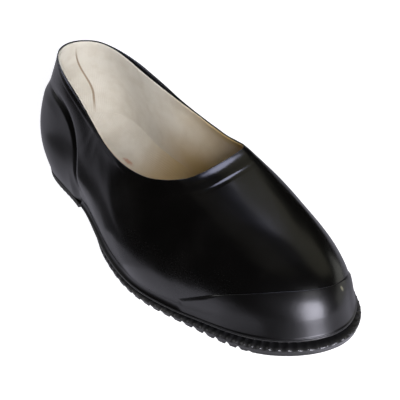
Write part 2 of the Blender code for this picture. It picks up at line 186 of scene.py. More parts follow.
def plan_curves(at):
    """The section values at the places `at`, with the foot line and the rim in plan."""
    row = Section(*periodic_spline(KNOTS, TABLE, at).T)
    foot = np.column_stack([row.foot_along * SHOE_LENGTH, row.foot_across * BALL_WIDTH]) / 100
    rim = np.column_stack([row.rim_along * SHOE_LENGTH, row.rim_across * BALL_WIDTH]) / 100
    return row, foot, rim


def outward(at):
    """Level directions square to the foot line and to the rim, from their slopes, pointing out."""
    _, foot_after, rim_after = plan_curves(at + STEP)
    _, foot_before, rim_before = plan_curves(at - STEP)
    alongs = (foot_after - foot_before, rim_after - rim_before)
    return [unit(np.column_stack([along[:, 1], -along[:, 0]])) for along in alongs]


def wall_points(at, up):
    """Outer wall: at each place one cubic curve with four handles, the foot, a point leaning up from it,
    a point falling from the rim, and the rim, read at `up` from 0 to 1."""
    row, foot, rim = plan_curves(at)
    foot_out, rim_out = outward(at)
    rim_out = unit(foot - rim + RIM_SQUARENESS * rim_out)
    start = np.column_stack([foot, seat_height(foot[:, 0]) + SEAT_CLEARANCE])
    end = np.column_stack([rim, INSTEP_HEIGHT + row.rim_height / 100 * (HEEL_HEIGHT - INSTEP_HEIGHT)])
    span = np.linalg.norm(end - start, axis=1)
    lean, fall = np.radians(row.lean), np.radians(row.fall)
    rise, reach = row.rise / 100 * span, row.reach / 100 * span
    leaning = start + np.column_stack([(rise * np.sin(lean))[:, None] * foot_out, rise * np.cos(lean)])
    falling = end + np.column_stack([(reach * np.cos(fall))[:, None] * rim_out, -reach * np.sin(fall)])
    start, leaning, falling, end = (handle[:, None] for handle in (start, leaning, falling, end))
    t = up[..., None]
    s = 1 - t
    return s**3 * start + 3 * s**2 * t * leaning + 3 * s * t**2 * falling + t**3 * end


def wall_lengths(at):
    """Distance up the wall at evenly spaced values of `up`, a row for each place."""
    up = np.broadcast_to(np.linspace(0, 1, PROFILE_SAMPLES), (len(at), PROFILE_SAMPLES))
    steps = np.linalg.norm(np.diff(wall_points(at, up), axis=1), axis=2)
    return np.concatenate([np.zeros((len(at), 1)), np.cumsum(steps, axis=1)], axis=1)


def from_heel(at):
    """Distance round the shoe from the back of the heel, below 0 on the inner side."""
    return (at + ROUND / 2) % ROUND - ROUND / 2


def inside_distance(form, at, heights):
    """Distance in from a form's edge, on the unrolled wall: (1 - form) over the length of its slope,
    where the form is 1 on the edge and less inside."""
    small = 0.0002
    along = (form(at + small, heights) - form(at - small, heights)) / (2 * small)
    up = (form(at, heights + small) - form(at, heights - small)) / (2 * small)
    return (1 - form(at, heights)) / np.maximum(np.hypot(along, up), 1e-6)


def counter_form(at, heights):
    """1 on the counter's edge: the shares of its reach and of its height, each to its power, added."""
    reach = np.abs(from_heel(at) / COUNTER_REACH)[:, None]
    rise = np.clip(heights, 0, None) / COUNTER_HEIGHT
    return reach**COUNTER_SIDE_POWER + rise**COUNTER_TOP_POWER


def counter_front(at, heights):
    """How far the counter's edge is a steep front: 0 round the back and by the sole, 1 at the sides."""
    side = smooth((np.abs(from_heel(at))[:, None] / COUNTER_REACH - FRONT_START) / FRONT_RUN)
    return side * smooth((heights - FRONT_FOOT) / FRONT_RISE)


def counter_swell(at, heights):
    """The shell bulges in front of the counter: up in a smooth step that starts just under its edge, and
    down in a bell curve."""
    ahead = SWELL_UNDER - inside_distance(counter_form, at, heights)
    bell = np.exp(-(np.clip(ahead - SWELL_RISE, 0, None) / SWELL_FALL) ** 2)
    return SWELL * counter_front(at, heights) * smooth(ahead / SWELL_RISE) * bell


def relief(at, heights):
    """How far the lasted shell stands off its plain wall: a bell curve for each crease, exp(-a^2 - b^2)
    of the distances along and across it over its half sizes, a product of sines for each slow wave, and
    the swell in front of the counter."""
    total = counter_swell(at, heights)
    for crease in CREASES.values():
        away = from_heel(at - crease.at)[:, None]
        up = heights - crease.height
        turn = np.radians(crease.turn)
        along = (away * np.cos(turn) + up * np.sin(turn)) / crease.long
        across = (up * np.cos(turn) - away * np.sin(turn)) / crease.wide
        total = total + crease.out * np.exp(-(along**2) - across**2)
    for wave in WAVES:
        turns = np.sin(2 * np.pi * wave.turns * at / ROUND + wave.start)[:, None]
        total = total + wave.out * turns * np.sin(2 * np.pi * heights / wave.up + wave.start)
    return total


def skin(at, heights, offset, raised=1.0):
    """Points at heights measured up the wall, moved off it along its normal by `offset` and by the share
    `raised` of the relief. The height is turned into `up` by looking it up in the wall's own lengths."""
    lengths = wall_lengths(at)
    k = np.clip((lengths[:, None, :] < heights[..., None]).sum(-1), 1, PROFILE_SAMPLES - 1)
    below = np.take_along_axis(lengths, k - 1, 1)
    above = np.take_along_axis(lengths, k, 1)
    up = np.clip((k - 1 + (heights - below) / (above - below)) / (PROFILE_SAMPLES - 1), 0, 1)
    round_the_shoe = wall_points(at + STEP, up) - wall_points(at - STEP, up)
    higher, lower = np.minimum(up + UP_STEP, 1), np.maximum(up - UP_STEP, 0)
    up_the_wall = wall_points(at, higher) - wall_points(at, lower)
    normal = unit(np.cross(round_the_shoe, up_the_wall))
    return wall_points(at, up) + (raised * relief(at, heights) + offset)[..., None] * normal


def wall_loop(top, bottom, outer, inner, outer_rows, inner_rows, turn_rows=9):
    """Heights and offsets of a closed profile: straight up the outer face, over a half round edge as
    thick as the sheet, and down the inner face."""
    radius = (outer - inner) / 2
    turn = np.linspace(0, np.pi, turn_rows)
    rise = np.linspace(0, 1, outer_rows, endpoint=False)
    drop = np.linspace(0, 1, inner_rows, endpoint=False)[::-1]
    straight = top - radius - bottom
    heights = [bottom + straight * rise, top - radius + radius * np.sin(turn), bottom + straight * drop]
    middle = (outer + inner) / 2
    offsets = [np.full(outer_rows, outer), middle + radius * np.cos(turn), np.full(inner_rows, inner)]
    return np.concatenate(heights, axis=1), np.concatenate(offsets)


def grid_object(name, points, u, v, closed_round=False, fill_ends=True):
    """Mesh through a grid of points whose rows are closed loops, with its UV map in metres: each square
    of four neighbours is a face. The grid closes round the shoe, or else its end loops can be filled."""
    columns, rows = points.shape[:2]
    index = np.arange(columns * rows).reshape(columns, rows)
    u = np.broadcast_to(u, (columns + closed_round, rows))
    if closed_round:
        index, v = np.vstack([index, index[:1]]), np.vstack([v, v[:1]])
    index, u, v = (np.hstack([part, part[:, :1]]) for part in (index, u, v))
    here, after = slice(None, -1), slice(1, None)
    corners = [(here, here), (after, here), (after, after), (here, after)]
    faces = np.stack([index[corner] for corner in corners], axis=-1).reshape(-1, 4)
    places = np.stack([np.stack([u[c], v[c]], axis=-1) for c in corners], axis=2).reshape(-1, 4, 2)
    flat = points.reshape(-1, 3) - MIDDLE
    a, b, c, d = (flat[faces[:, k]] for k in range(4))
    volume = np.einsum("ij,ij->i", a, np.cross(b, c) + np.cross(c, d)).sum()
    order = slice(None) if volume > 0 else slice(None, None, -1)
    polygons = faces[:, order].tolist()
    places = places[:, order].reshape(-1, 2)
    if fill_ends and not closed_round:
        ends = [np.arange(rows), (columns - 1) * rows + np.arange(rows)[::-1]]
        polygons += [end[order].tolist() for end in ends]
        places = np.vstack([places, np.zeros((2 * rows, 2))])
    mesh = bpy.data.meshes.new(name)
    mesh.from_pydata(flat.tolist(), [], polygons)
    layer = mesh.uv_layers.new(name="sheet")
    layer.data.foreach_set("uv", places.astype(np.float32).ravel())
    mesh.shade_smooth()
    piece = bpy.data.objects.new(name, mesh)
    bpy.context.scene.collection.objects.link(piece)
    return piece


class Value:
    """A socket among a material's nodes. Arithmetic on it adds Math nodes, and node() adds any other."""

    def __init__(self, tree, socket=None):
        self.tree = tree
        self.socket = socket

    def node(self, kind, settings, inputs, output=0):
        """A new node: its settings are set first, then the values or links of its sockets."""
        added = self.tree.nodes.new(kind)
        for name, setting in settings.items():
            setattr(added, name, setting)
        for name, given in inputs.items():
            if isinstance(given, Value):
                self.tree.links.new(given.socket, added.inputs[name])
            else:
                added.inputs[name].default_value = given
        return Value(self.tree, added.outputs[output])

    def math(self, operation, first, second=0.0):
        """A Math node on one or two values or numbers."""
        return self.node("ShaderNodeMath", {"operation": operation}, {0: first, 1: second})

    def __add__(self, other):
        return self.math("ADD", self, other)

    def __sub__(self, other):
        return self.math("SUBTRACT", self, other)

    def __rsub__(self, other):
        return self.math("SUBTRACT", other, self)

    def __mul__(self, other):
        return self.math("MULTIPLY", self, other)

    __radd__ = __add__
    __rmul__ = __mul__

    def step(self, low, high):
        """0 at `low` and 1 at `high`, smooth between them, whichever of the two is larger."""
        settings = {"interpolation_type": "SMOOTHSTEP"}
        inputs = {"Value": self, "From Min": low, "From Max": high}
        return self.node("ShaderNodeMapRange", settings, inputs)

    def blend(self, low, high):
        """Colour that goes from `low` to `high` as this value goes from 0 to 1."""
        return self.node("ShaderNodeMix", {"data_type": "RGBA"}, {0: self, 6: low, 7: high}, output=2)

    def noise(self, scale, detail=2.0):
        """Cloudy pattern around 0.5 over this place, with `scale` lumps a metre."""
        return self.node("ShaderNodeTexNoise", {}, {"Vector": self, "Scale": scale, "Detail": detail})

    def part(self, axis):
        """One number of this place: 0 for x, 1 for y, 2 for z."""
        return self.node("ShaderNodeSeparateXYZ", {}, {0: self}, output=axis)

    def spot(self, middle, half_sizes):
        """1 in the middle of a ragged oval round a place and 0 outside: a smooth step from 1 to 0.3 of
        the distance over its half sizes, with a fine noise added."""
        kind = "ShaderNodeVectorMath"
        away = self.node(kind, {"operation": "SUBTRACT"}, {0: self, 1: middle})
        away = self.node(kind, {"operation": "DIVIDE"}, {0: away, 1: half_sizes})
        away = self.node(kind, {"operation": "LENGTH"}, {0: away}, output="Value")
        return (away + 0.9 * (self.noise(700.0) - 0.5)).step(1.0, 0.3)

    def bump(self, distance):
        """Normal of a surface that stands out by this value times `distance`."""
        return self.node("ShaderNodeBump", {}, {"Height": self, "Distance": distance})


def start_material(name):
    """A new material with its shader, the place in the shoe and the place on the sheet in metres."""
    material = bpy.data.materials.new(name)
    material.use_nodes = True
    tree = material.node_tree
    blank = Value(tree)
    place = blank.node("ShaderNodeTexCoord", {}, {}, output="Object")
    sheet = blank.node("ShaderNodeUVMap", {"uv_map": "sheet"}, {})
    return material, tree.nodes["Principled BSDF"], place, sheet


def set_shader(shader, values):
    """Fills the shader's sockets by name, with links for what varies and numbers for what doesn't."""
    for name, given in values.items():
        if isinstance(given, Value):
            given.tree.links.new(given.socket, shader.inputs[name])
        else:
            shader.inputs[name].default_value = given


def rubber(name, roughness, grain, marks=lambda colour, place: colour):
    """Cured black rubber: a deep black with a faint grey bloom, cloudy gloss with finger smears, and a
    skin like fine orange peel under a clear coat. `marks` adds a piece's own scuffs to the colour."""
    material, shader, place, _ = start_material(name)
    cloud = place.noise(34.0, 4.0)
    smear = place.noise(11.0, 3.0).step(0.46, 0.72)
    speck = place.noise(900.0)
    peel = place.noise(260.0)
    bloom = cloud.step(0.40, 0.78) * 0.7 + speck.step(0.60, 0.80) * 0.3
    set_shader(shader, {
        "Base Color": marks(bloom.blend(BLACK, BLOOM), place),
        "Roughness": roughness + 0.05 * smear + 0.05 * (cloud - 0.5) + 0.04 * (speck - 0.5),
        "Normal": (peel * 0.6 + speck * 0.4).bump(grain),
        "Coat Weight": 0.06,
        "Coat Roughness": 0.16,
    })
    return material


def put_on(piece, material, slot, *nodes):
    """Gives a finished piece its material, its body and the solids that it stands for. `slot` is not
    used.
    """
    piece.data.materials.append(material)
    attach(piece, "root")
    if nodes:
        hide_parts(*nodes)


around = np.linspace(0, ROUND, SHELL_COLUMNS, endpoint=False)
around_closed = np.linspace(0, ROUND, SHELL_COLUMNS + 1)[:, None]
rim_height = wall_lengths(around)[:, -1:]
heights, offsets = wall_loop(rim_height, 0 * rim_height, 0.0, -SHELL_WALL, SHELL_ROWS, SHELL_INNER_ROWS)
points = skin(around, heights, offsets, raised=1 + offsets / SHELL_WALL)
shell = grid_object("upper_shell", points, around_closed, heights, closed_round=True)
put_on(shell, rubber("shell_rubber", roughness=0.24, grain=0.00004), "gloss_rubber", "upper")


# Lining: cream cotton knit, rubbered to the inside of the shell and cut off just below its rim. A brown
# seam joins it at the back of the heel. At the throat, along the cut and low down it is painted a darker
# yellow, partly yellowing of the knit and partly painted shade deep in the shoe.
LINING_WALL = 0.0011
LINING_DROP = 0.0003
LINING_FOOT = 0.0012
LINING_OUTER_ROWS = 12
LINING_INNER_ROWS = 84
LINING_TURN_ROWS = 7
KNIT_WALE = 0.0013
KNIT_COURSE = 0.0010
CREAM = (0.78, 0.75, 0.70, 1.0)
CREAM_SHADE = (0.70, 0.66, 0.60, 1.0)
# Darker yellow for yellowed knit and for painted shade deep inside the shoe.
YELLOWED_AND_SHADE = (0.45, 0.285, 0.068, 1.0)
SEAM_BROWN = (0.25, 0.15, 0.07, 1.0)
# Where the knit is painted a darker yellow, partly yellowing and partly painted shade, from none to
# most:
# along the shoe, and down from the lining's cut.
AGED_AND_SHADE_ALONG = (-0.085, -0.005)
THROAT_AGE_SHADE_ALONG, THROAT_AGE_SHADE_DOWN = (-0.060, 0.010), (0.011, 0.0015)
LOW_AGE_SHADE_ALONG, LOW_AGE_SHADE_DOWN = (-0.090, -0.015), (0.020, 0.042)
# The heel seam: its lean to one side, and from the cut down where it leans, where it comes in and where
# it goes out. Then its half width and the half width of its fold, each as a soft edge.
SEAM_LEAN, SEAM_LEANS = -0.0145, (0.004, 0.056)
SEAM_COMES_IN, SEAM_GOES_OUT = (0.002, 0.016), (0.074, 0.058)
SEAM_EDGE, FOLD_EDGE = (0.0011, 0.0004), (0.0028, 0.0009)


def knit(name, marks):
    """Cotton knit: wales and courses as two sines on the sheet, thread fuzz and soft mottling, and a
    darker yellow towards the toes, partly yellowing and partly painted shade. `marks` adds the piece's
    own seams, stains and painted shade to the colour and the height."""
    material, shader, place, sheet = start_material(name)
    wale = sheet.math("SINE", sheet.part(0) * (2 * np.pi / KNIT_WALE))
    course = sheet.math("SINE", sheet.part(1) * (2 * np.pi / KNIT_COURSE))
    fuzz = place.noise(1400.0, 3.0)
    mottle = place.noise(95.0, 4.0).step(0.34, 0.72)
    height = 0.30 * wale + 0.22 * course + 0.9 * fuzz
    # Painted shade and yellowing: the knit darkens to yellow towards the toes.
    aged_and_shade = 0.60 * place.part(0).step(*AGED_AND_SHADE_ALONG)
    colour = aged_and_shade.blend(mottle.blend(CREAM, CREAM_SHADE), YELLOWED_AND_SHADE)
    colour, height = marks(colour, height, place, sheet)
    set_shader(shader, {
        "Base Color": colour,
        "Roughness": 0.90 + 0.08 * (fuzz - 0.5),
        "Normal": height.bump(0.00014),
        "Sheen Weight": 0.20,
        "Sheen Roughness": 0.5,
        "Specular IOR Level": 0.2,
    })
    return material


def lining_marks(colour, height, place, sheet):
    """Darker yellow along the throat's cut and low down towards the toes, partly yellowing and partly
    painted shade, and the heel seam, which leans inwards as it goes down and stands up as a fold with
    the seam's own line pressed in."""
    along, drop = place.part(0), sheet.part(1)
    # Painted shade with yellowing: darker yellow along the throat's cut.
    throat = along.step(*THROAT_AGE_SHADE_ALONG)
    colour = (0.85 * throat * drop.step(*THROAT_AGE_SHADE_DOWN)).blend(colour, YELLOWED_AND_SHADE)
    # Painted shade with yellowing: darker yellow low down towards the toes.
    low = along.step(*LOW_AGE_SHADE_ALONG) * drop.step(*LOW_AGE_SHADE_DOWN)
    colour = (0.80 * low).blend(colour, YELLOWED_AND_SHADE)
    middle = SEAM_LEAN * drop.step(*SEAM_LEANS)
    away = sheet.math("ABSOLUTE", sheet.part(0) - middle)
    seam = away.step(*SEAM_EDGE) * drop.step(*SEAM_COMES_IN) * drop.step(*SEAM_GOES_OUT)
    colour = (0.75 * seam).blend(colour, SEAM_BROWN)
    return colour, height + 1.6 * away.step(*FOLD_EDGE) - 1.2 * seam


from_seam = np.linspace(-ROUND / 2, ROUND / 2, SHELL_COLUMNS + 1)
seam_rim = wall_lengths(from_seam[:-1])[:, -1:]
cut_height = seam_rim - LINING_DROP
inner_face = -SHELL_WALL - LINING_WALL
lining_rows = (LINING_OUTER_ROWS, LINING_INNER_ROWS, LINING_TURN_ROWS)
foot_height = np.full(seam_rim.shape, LINING_FOOT)
heights, offsets = wall_loop(cut_height, foot_height, -SHELL_WALL, inner_face, *lining_rows)
points = skin(from_seam[:-1], heights, offsets, raised=0.0)
lining = grid_object("lining", points, from_seam[:, None], cut_height - heights, closed_round=True)
put_on(lining, knit("lining_knit", lining_marks), "lining_textile")


# Insole: a cotton sock over the filled heel seat, laid on the sole inside the lining. It is dished, its
# edge turns up against the lining, and it is trodden slightly grey. From the waist on it is painted a
# darker yellow, partly yellowing and partly painted shade inside the toe.
INSOLE_INSET = 0.0023
INSOLE_THICKNESS = 0.0035
HEEL_WEDGE = 0.0050
WEDGE_FALL = (-0.32, -0.17)
INSOLE_TURN_UP = 0.0120
TURN_UP_REACH = 0.0190
SOCK_GAP = 0.0001
SOCK_DISH = 0.94
INSOLE_STATIONS = 180
INSOLE_ROWS = 61
UNDERSIDE_EVERY = 6
END_TRIM = 0.02
EDGE_SAMPLES = 1440
# Where heel and ball tread: the middle of each oval along the shoe, its half length and half width.
TRODDEN_OVALS = [(-0.100, 0.036, 0.026), (0.050, 0.044, 0.036)]
TRODDEN_LINE = 0.004
# Where the sock is painted darker yellow along the shoe: partly yellowing, partly painted shade.
SOCK_AGED_AND_SHADE_ALONG = (-0.100, -0.045)
TRODDEN = (0.42, 0.38, 0.33, 1.0)
RUST = (0.46, 0.17, 0.09, 1.0)
RUST_PLACE = (-0.0850, 0.0170, 0.0140)
RUST_HALF = (0.0070, 0.0026, 0.0060)


def two_sides(ring):
    """Splits a closed ring at heel and toe into its outer and its inner side, each by rising x. Its rows
    start with x and y."""
    heel, toe = ring[:, 0].argmin(), ring[:, 0].argmax()
    ring = np.roll(ring, -heel, axis=0)
    turn = (toe - heel) % len(ring)
    sides = (ring[: turn + 1], np.vstack([ring[turn:], ring[:1]])[::-1])
    return [side[np.argsort(side[:, 0])] for side in sides]


def outline(offset):
    """The two sides of the plan outline at an offset from the foot line. Columns are x, y, the outward
    direction and the distance round the shoe."""
    at = np.linspace(0, ROUND, EDGE_SAMPLES, endpoint=False)
    _, foot, _ = plan_curves(at)
    out = outward(at)[0]
    return two_sides(np.column_stack([foot + offset(foot[:, 0])[:, None] * out, out, at]))


def side_column(side, x, column):
    """One column of a side, read at `x` on straight lines between its rows."""
    return np.interp(x, side[:, 0], side[:, column])


def across_rows(sides, share, across):
    """Points of a strip between two sides: x at a share of their length, y at `across` from -1 to 1."""
    first, last = sides[0][0, 0], sides[0][-1, 0]
    x = first + share * (last - first)
    low, high = (side_column(side, x, 1)[:, None] for side in sides)
    y = (low + high) / 2 + across * (high - low) / 2
    return np.broadcast_to(x[:, None], y.shape), y


def insole_thickness(x):
    """Sock on the forefoot, and the heel wedge under it, falling away at the waist."""
    return INSOLE_THICKNESS + HEEL_WEDGE * (1 - ramp(x, *WEDGE_FALL))


def turn_up(from_sides, from_ends):
    """Rise of the sock's edge, 1 at the lining: a cube of the distance left to its reach, from the sides
    and from the ends, joined as 1 - (1 - a)(1 - b)."""
    sides, ends = (np.clip(1 - d / TURN_UP_REACH, 0, 1) ** 3 for d in (from_sides, from_ends))
    return 1 - (1 - sides) * (1 - ends)


def insole_marks(colour, height, place, sheet):
    """Greyer in soft ovals where heel and ball tread, a darker yellow from the waist on that is partly
    yellowing and partly painted shade, and a rust smear.
    """
    x, y = place.part(0), place.part(1)
    tread = 0.0
    for middle, long, wide in TRODDEN_OVALS:
        along, across = (x - middle) * (1 / long), (y - TRODDEN_LINE) * (1 / wide)
        tread = tread + (along * along + across * across).step(1.2, 0.2)
    colour = (0.14 + 0.25 * tread * place.noise(60.0, 3.0)).blend(colour, TRODDEN)
    # Painted shade with yellowing: darker yellow from the waist on.
    colour = (0.66 * x.step(*SOCK_AGED_AND_SHADE_ALONG)).blend(colour, YELLOWED_AND_SHADE)
    return (0.65 * place.spot(RUST_PLACE, RUST_HALF)).blend(colour, RUST), height


ring_at = np.linspace(0, ROUND, EDGE_SAMPLES, endpoint=False)
ring_height = insole_thickness(plan_curves(ring_at)[1][:, :1]) + INSOLE_TURN_UP
top_sides = two_sides(skin(ring_at, ring_height, inner_face - SOCK_GAP, raised=0.0)[:, 0])
low_sides = outline(lambda x: np.full(len(x), -INSOLE_INSET))
share = (1 - np.cos(np.linspace(END_TRIM, np.pi - END_TRIM, INSOLE_STATIONS))) / 2
across = np.sin(np.linspace(-np.pi / 2, np.pi / 2, INSOLE_ROWS))
top_x, top_y = across_rows(top_sides, share, across)
low_x, low_y = across_rows(low_sides, share, across[::-UNDERSIDE_EVERY])
half_width = (top_y[:, -1:] - top_y[:, :1]) / 2
from_sides = half_width * (1 - np.abs(across))
from_ends = np.minimum(top_x - top_sides[0][0, 0], top_sides[0][-1, 0] - top_x)
dish = SOCK_DISH * insole_thickness(top_x) + INSOLE_TURN_UP * turn_up(from_sides, from_ends)
top_z = seat_height(top_x) + SEAT_CLEARANCE + dish
low_z = seat_height(low_x) + SEAT_CLEARANCE
top, low = np.stack([top_x, top_y, top_z], axis=-1), np.stack([low_x, low_y, low_z], axis=-1)
points = np.concatenate([top, low], axis=1)
insole = grid_object("insole_sock", points, points[:, :1, 0], points[..., 1])
put_on(insole, knit("sock_knit", insole_marks), "lining_textile", "insole")


# Outsole: one moulding of tougher, duller rubber. Cross ribs under the heel and the forefoot, a smooth
# arched shank between, and round the edge a lip under the upper, a groove bridged by narrow teeth, and a
# bead that widens to the toe.
Edge = namedtuple("Edge", "along lip bead corner flute")
SOLE_EDGE = [
    Edge(-0.500, 0.0022, 0.0020, 0.0008, 0.0005),
    Edge(-0.268, 0.0022, 0.0020, 0.0008, 0.0005),
    Edge(-0.262, 0.0022, 0.0004, -0.0060, 0.0000),
    Edge(-0.150, 0.0022, 0.0004, -0.0060, 0.0000),
    Edge(-0.080, 0.0024, 0.0022, 0.0010, 0.0008),
    Edge(0.050, 0.0024, 0.0030, 0.0018, 0.0018),
    Edge(0.220, 0.0026, 0.0038, 0.0028, 0.0024),
    Edge(0.420, 0.0034, 0.0064, 0.0052, 0.0032),
    Edge(0.500, 0.0038, 0.0074, 0.0060, 0.0032),
]
HEEL_BREAST, TREAD_START, BALL = -0.265, -0.085, 0.10
SHANK_ARCH = 0.0060
TREAD_SPRING, TREAD_SPRING_START, TREAD_SPRING_POWER = 0.0080, 0.26, 1.7
LIP_GROOVE_DEPTH = 0.0028
LIP_TUCK = 0.0005
# Shares of the edge's height at the lip's top and foot, the groove, the bead and the tread's corner.
PROFILE_DOWN = (0, 0.08, 0.26, 0.52, 1)
BEAD_DOWN = PROFILE_DOWN[3]
FLUTE_PITCH = 0.0050
FLUTE_TOP, FLUTE_RUN = 0.12, 0.48
FOREFOOT_RIBS, FOREFOOT_GROOVE = 21, 0.0030
HEEL_RIBS, HEEL_GROOVE = 12, 0.0020
RIB_SHARE = 0.55
GROOVE_POWER = 0.8
RIB_BOW, BOW_FADE = 0.0070, (0.30, 0.49)
# The plain border of the tread round the toe: where it comes in along the shoe, and across the tread.
TOE_BORDER = (0.30, 0.40)
BORDER_START, BORDER_RUN = 0.84, 0.08
# Depths over which the tread is painted from worn grey to black: painted shade in the grooves.
SHADED_DEPTH = (0.0004, 0.0024)
SOLE_BLACK = (0.0030, 0.0030, 0.0034, 1.0)
SOLE_WORN = (0.0160, 0.0160, 0.0175, 1.0)
SOLE_DUST = (0.0280, 0.0275, 0.0270, 1.0)
SOLE_STATIONS = 760
EDGE_ROWS = 26
TREAD_ROWS = 45


def tread_height(x):
    """Underside of the sole: flat heel, a step up to the shank's arch, flat ball, and the toe spring."""
    arch = SHANK_ARCH * (1 - ramp(x, HEEL_BREAST, TREAD_START))
    arch = np.where(x < HEEL_BREAST * SHOE_LENGTH, 0, arch)
    return arch + TREAD_SPRING * spring(x, TREAD_SPRING_START, TREAD_SPRING_POWER)


def edge_out(x, column):
    """How far an edge of the sole stands out past the foot line at `x`."""
    along = [row.along * SHOE_LENGTH for row in SOLE_EDGE]
    return np.interp(x, along, [getattr(row, column) for row in SOLE_EDGE])


def edge_profile(x, down):
    """Stand-out of the sole's edge at a share `down` of its height: smooth steps from lip to lip, to the
    groove under it, to the bead and to the corner of the tread."""
    lip, bead, corner = (edge_out(x, column) for column in ("lip", "bead", "corner"))
    marks = [lip, lip, lip - LIP_GROOVE_DEPTH, bead, corner]
    k = min(int(np.searchsorted(PROFILE_DOWN, down, side="right")) - 1, len(marks) - 2)
    share = smooth((down - PROFILE_DOWN[k]) / (PROFILE_DOWN[k + 1] - PROFILE_DOWN[k]))
    return marks[k] + (marks[k + 1] - marks[k]) * share


def edge_recess(x, down):
    """How far the edge lies back from a straight line from lip to bead, and nothing under the bead."""
    lip, bead = edge_out(x, "lip"), edge_out(x, "bead")
    line = lip + (bead - lip) * down / BEAD_DOWN
    return np.where(down < BEAD_DOWN, line - edge_profile(x, down), 0)


def rib_grooves(x, start, end, count, depth):
    """Depth cut by a run of ribs: none over each flat, then half a sine wave to a power that fills it,
    and nothing outside the run."""
    pitch = (end - start) / (count - 1 + RIB_SHARE)
    phase = np.mod((x - start) / pitch, 1)
    groove = np.sin(np.pi * np.clip((phase - RIB_SHARE) / (1 - RIB_SHARE), 0, 1)) ** GROOVE_POWER
    return np.where((x >= start) & (x <= end), depth * groove, 0)


def tread_rubber(name):
    """Duller moulded rubber: worn and dusty grey in clouds on what stands out, and black and more matt
    where it lies back in the grooves, as painted shade, by the depth that the sheet's second place
    gives, and a fine grain."""
    material, shader, place, sheet = start_material(name)
    cloud = place.noise(48.0, 4.0)
    speck = place.noise(1100.0, 3.0)
    # Painted shade: black where the rubber lies back in grooves and pits.
    deep = sheet.part(1).step(*SHADED_DEPTH)
    dust = cloud.step(0.42, 0.74) * 0.8
    set_shader(shader, {
        "Base Color": deep.blend(dust.blend(SOLE_WORN, SOLE_DUST), SOLE_BLACK),
        "Roughness": 0.28 + 0.14 * deep + 0.08 * (cloud - 0.5) + 0.06 * speck,
        "Normal": (speck * 0.6 + cloud * 0.4).bump(0.00012),
        "Coat Weight": 0.10,
        "Coat Roughness": 0.25,
        "IOR": 1.52,
    })
    return material


def weld(piece):
    """Joins points that lie on one another, where the sole's two sides run together at heel and toe."""
    mesh = bmesh.new()
    mesh.from_mesh(piece.data)
    bmesh.ops.remove_doubles(mesh, verts=mesh.verts, dist=1e-6)
    mesh.to_mesh(piece.data)
    mesh.free()


corner_sides = outline(lambda x: edge_profile(x, 1))
corner_line = corner_sides[0]
steps = np.linalg.norm(np.diff(corner_line[:, :2], axis=0), axis=1)
lengths = np.concatenate([[0], np.cumsum(steps)])
tread_first, tread_last = corner_line[0, 0], corner_line[-1, 0]
x = np.interp(np.linspace(0, lengths[-1], SOLE_STATIONS), lengths, corner_line[:, 0])
share = (x - tread_first) / (tread_last - tread_first)
cut = rib_grooves(x, tread_first, HEEL_BREAST * SHOE_LENGTH - STEP, HEEL_RIBS, HEEL_GROOVE)
cut = cut + rib_grooves(x, TREAD_START * SHOE_LENGTH, tread_last, FOREFOOT_RIBS, FOREFOOT_GROOVE)
bow = RIB_BOW * ramp(x, HEEL_BREAST, BALL) * (1 - ramp(x, *BOW_FADE))
toe_border = ramp(x, *TOE_BORDER)
# Rows down the edge: the first lies on top, tucked in a little behind the lip, and the ribs' grooves run
# out up the edge as a cube.
outer_edge, inner_edge = [], []
for down in np.concatenate([[0.0], np.linspace(0, 1, EDGE_ROWS)]):
    sides = outline(lambda place: edge_profile(place, down))
    row_first, row_last = sides[0][0, 0], sides[0][-1, 0]
    row_x = np.clip(row_first + share * (row_last - row_first) + down * bow, row_first, row_last)
    low = tread_height(row_x) + cut * down**3 * (1 - toe_border)
    z = seat_height(row_x) + down * (low - seat_height(row_x))
    flute = np.sin(np.pi * np.clip((down - FLUTE_TOP) / FLUTE_RUN, 0, 1))
    for side, rows in zip(sides, (outer_edge, inner_edge)):
        turns = side_column(side, row_x, 4) / FLUTE_PITCH
        pit = (0.5 + 0.5 * np.cos(2 * np.pi * turns)) ** GROOVE_POWER
        tuck = 0.0 if rows else LIP_TUCK
        back = edge_out(row_x, "flute") * flute * pit + tuck
        level = [side_column(side, row_x, k) - back * side_column(side, row_x, k + 2) for k in (0, 1)]
        rows.append(np.column_stack([*level, z, edge_recess(row_x, down) + back]))
tread = []
for place in np.linspace(-1, 1, TREAD_ROWS + 2)[1:-1]:
    row_x = np.clip(x + bow * place**2, tread_first, tread_last)
    low, high = (side_column(side, row_x, 1) for side in corner_sides)
    border = toe_border * smooth((abs(place) - BORDER_START) / BORDER_RUN)
    groove = cut * (1 - border)
    y = (low + high) / 2 + place * (high - low) / 2
    tread.append(np.column_stack([row_x, y, tread_height(row_x) + groove, groove]))
grid = np.stack(outer_edge + tread + inner_edge[::-1], axis=1)
outsole = grid_object("outsole_moulding", grid[..., :3], grid[:, :1, 0], grid[..., 3], fill_ends=False)
weld(outsole)
put_on(outsole, tread_rubber("sole_rubber"), "tread_rubber", "outsole")


# Toe cap: a second layer of rubber moulded over the toe, highest at the tip. Its edge runs down both
# sides in a fine step that softens on the way, and turns steeply down to the foxing at its ends.
CAP_HEIGHT = 0.0315
CAP_CENTRE = 0.298
CAP_REACH = 0.0985
CAP_ROUND_POWER = 1.6
CAP_END = 0.82
CAP_THICKNESS = 0.0010
CAP_EDGE = 0.0005
CAP_EDGE_SPREAD = 0.0023
CAP_SOFT_START, CAP_SOFT_RUN = 0.38, 0.22
CAP_END_EDGE = 0.0060
CAP_COLUMNS = 240
CAP_ROWS = 48
BACK_EVERY = 4
SUNK = 0.0002
PRESSED_IN = 0.00004
FOXING_SIDE = 0.0045
FOXING_TOE_RISE, FOXING_CLIMB = 0.0075, (0.15, 0.46)
